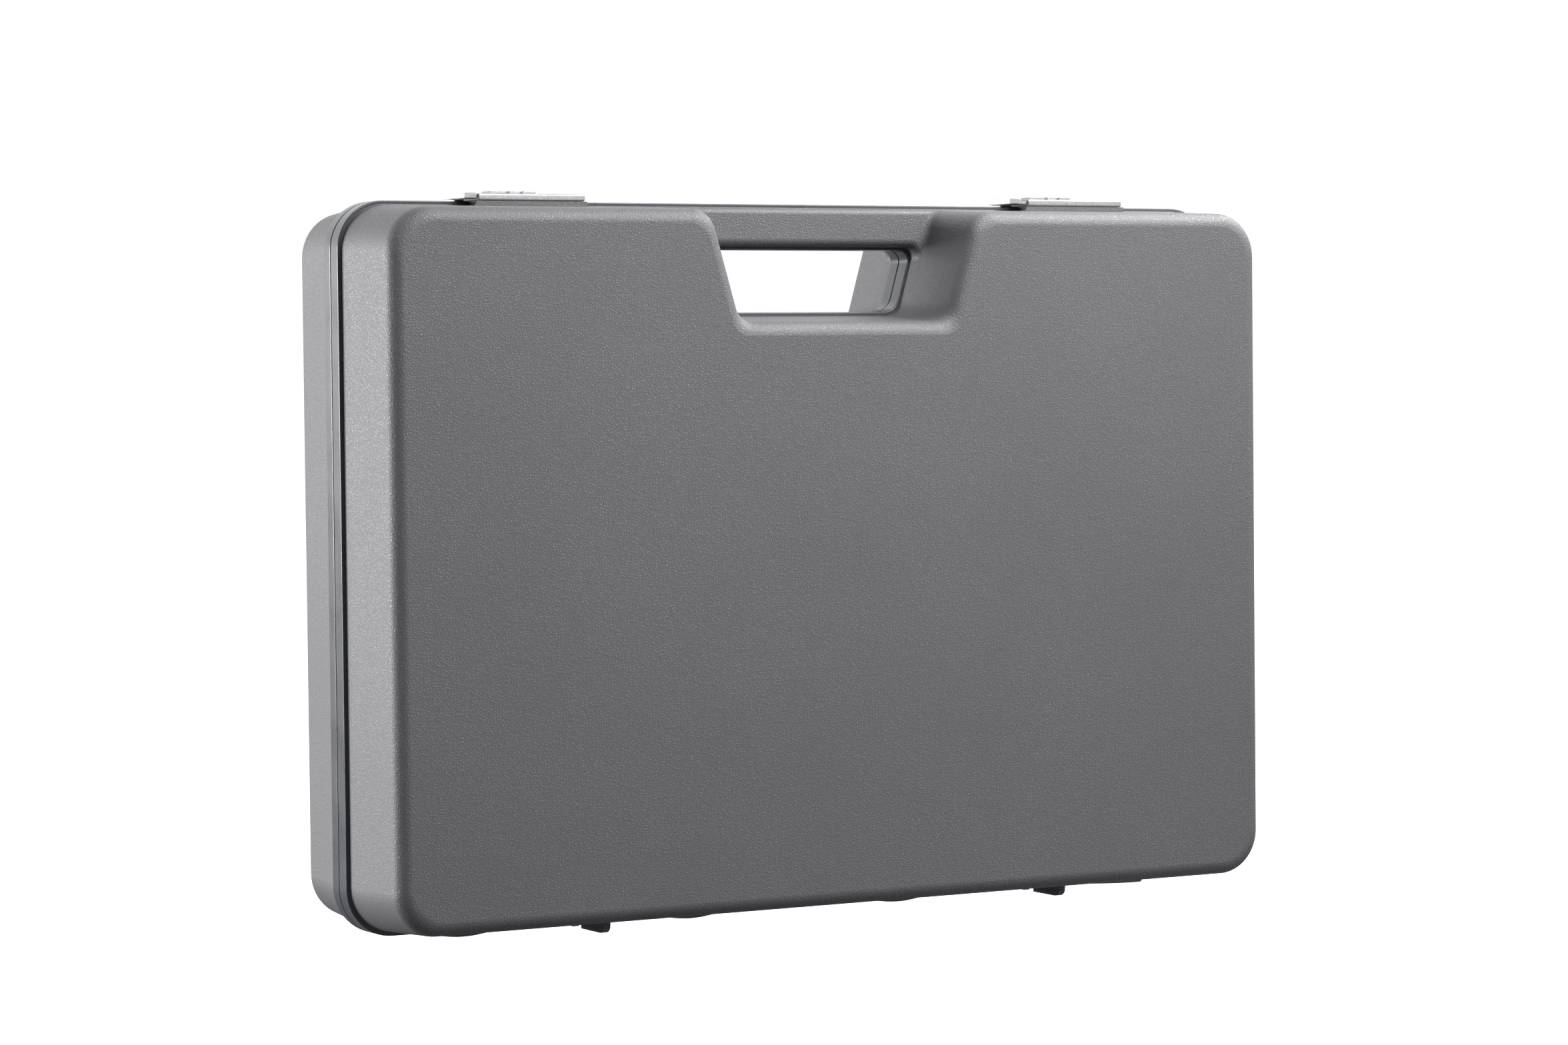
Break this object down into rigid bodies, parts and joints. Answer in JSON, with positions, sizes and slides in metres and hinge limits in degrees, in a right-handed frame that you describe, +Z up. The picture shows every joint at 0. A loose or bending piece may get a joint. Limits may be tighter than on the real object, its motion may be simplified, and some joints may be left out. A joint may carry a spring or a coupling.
{
  "type": "socket wrench set in case",
  "caption": "Hard plastic carrying case with hand-hold, bottom hinges and two slide latches, holding a half-inch-drive ratchet, sockets and extension bars in a moulded tray.",
  "frame": {"origin": "on the ground under the middle of the closed case's bounding box", "axes": "+X along the case to the right of someone facing the lid, +Y from the lid to the base, +Z up"},
  "size_m": [0.4, 0.087, 0.288],
  "materials": {
    "case_plastic": "grey injection-moulded plastic with a fine leather grain, smooth on the rims",
    "tray_plastic": "black formed sheet, fine satin",
    "foam": "dark grey open-cell foam",
    "grip_rubber": "black moulded grip",
    "chrome_steel": "satin chrome plate on forged steel",
    "dark_steel": "hardened steel, dark",
    "plated_steel": "pressed sheet steel, zinc plated, satin grey"
  },
  "bodies": {
    "base": {"base_shell": "case_plastic", "tray": "tray_plastic", "ratchet_grip": "grip_rubber", "large_socket_trough": "tray_plastic", "small_socket_trough": "tray_plastic", "ratchet_trough": "tray_plastic", "t_bar_trough": "tray_plastic", "extension_long_trough": "tray_plastic", "extension_short_trough": "tray_plastic", "spark_plug_trough_21": "tray_plastic", "spark_plug_trough_16": "tray_plastic", "joint_trough": "tray_plastic", "adaptor_trough": "tray_plastic", "socket_30": "chrome_steel", "socket_27": "chrome_steel", "socket_24": "chrome_steel", "socket_22": "chrome_steel", "socket_21": "chrome_steel", "socket_19": "chrome_steel", "socket_18": "chrome_steel", "socket_17": "chrome_steel", "socket_15": "chrome_steel", "socket_14": "chrome_steel", "socket_13": "chrome_steel", "socket_12": "chrome_steel", "socket_11": "chrome_steel", "socket_10": "chrome_steel", "ratchet_body": "chrome_steel", "ratchet_cover": "chrome_steel", "t_bar": "chrome_steel", "extension_long": "chrome_steel", "extension_short": "chrome_steel", "spark_plug_socket_21": "chrome_steel", "spark_plug_socket_16": "chrome_steel", "joint_lower_yoke": "chrome_steel", "drive_adaptor": "chrome_steel", "hinge_pin_left": "plated_steel", "hinge_pin_right": "plated_steel", "latch_keeper_left": "plated_steel", "latch_keeper_right": "plated_steel"},
    "lid": {"lid_shell": "case_plastic", "lid_pad": "foam", "latch_housing_left": "plated_steel", "latch_housing_right": "plated_steel", "latch_rivet_left_1": "plated_steel", "latch_rivet_left_2": "plated_steel", "latch_rivet_right_1": "plated_steel", "latch_rivet_right_2": "plated_steel"},
    "latch_slide_left": {"latch_slide_left": "plated_steel"},
    "latch_slide_right": {"latch_slide_right": "plated_steel"},
    "ratchet_wheel": {"ratchet_gear": "dark_steel"},
    "release": {"release_button": "dark_steel"},
    "reverser": {"reversing_lever": "dark_steel", "ratchet_pawl": "dark_steel"},
    "sliding_head": {"t_bar_head": "chrome_steel"},
    "joint_cross": {"joint_cross": "dark_steel"},
    "joint_output": {"joint_upper_yoke": "chrome_steel"}
  },
  "joints": [
    {"name": "lid_hinge", "type": "hinge", "parent": "base", "child": "lid", "pos_m": [0, 0.0039, 0.00275], "axis": [1, 0, 0], "range_deg": [0, 100]},
    {"name": "left_latch", "type": "slide", "parent": "lid", "child": "latch_slide_left", "axis": [-1, 0, 0], "range_m": [0, 0.005]},
    {"name": "right_latch", "type": "slide", "parent": "lid", "child": "latch_slide_right", "axis": [-1, 0, 0], "range_m": [-0.003, 0.002]},
    {"name": "ratchet_turn", "type": "hinge", "parent": "base", "child": "ratchet_wheel", "pos_m": [-0.1644, 0.0129, 0.03905], "axis": [0, 1, 0], "continuous": true},
    {"name": "release_press", "type": "slide", "parent": "ratchet_wheel", "child": "release", "axis": [0, 1, 0], "range_m": [0, 0.002], "stiffness_N_per_m": 300, "springref_m": -0.001},
    {"name": "reverser_turn", "type": "hinge", "parent": "base", "child": "reverser", "pos_m": [-0.1496, 0.0129, 0.03905], "axis": [0, 1, 0], "range_deg": [-20, 20]},
    {"name": "t_bar_slide", "type": "slide", "parent": "base", "child": "sliding_head", "axis": [1, 0, 0], "range_m": [-0.105, 0.105]},
    {"name": "joint_first_pivot", "type": "hinge", "parent": "base", "child": "joint_cross", "pos_m": [-0.132, 0.0039, 0.24705], "axis": [1, 0, 0], "range_deg": [-35, 35]},
    {"name": "joint_second_pivot", "type": "hinge", "parent": "joint_cross", "child": "joint_output", "pos_m": [-0.132, 0.0039, 0.24705], "axis": [0, 0, 1], "range_deg": [-35, 35]}
  ]
}
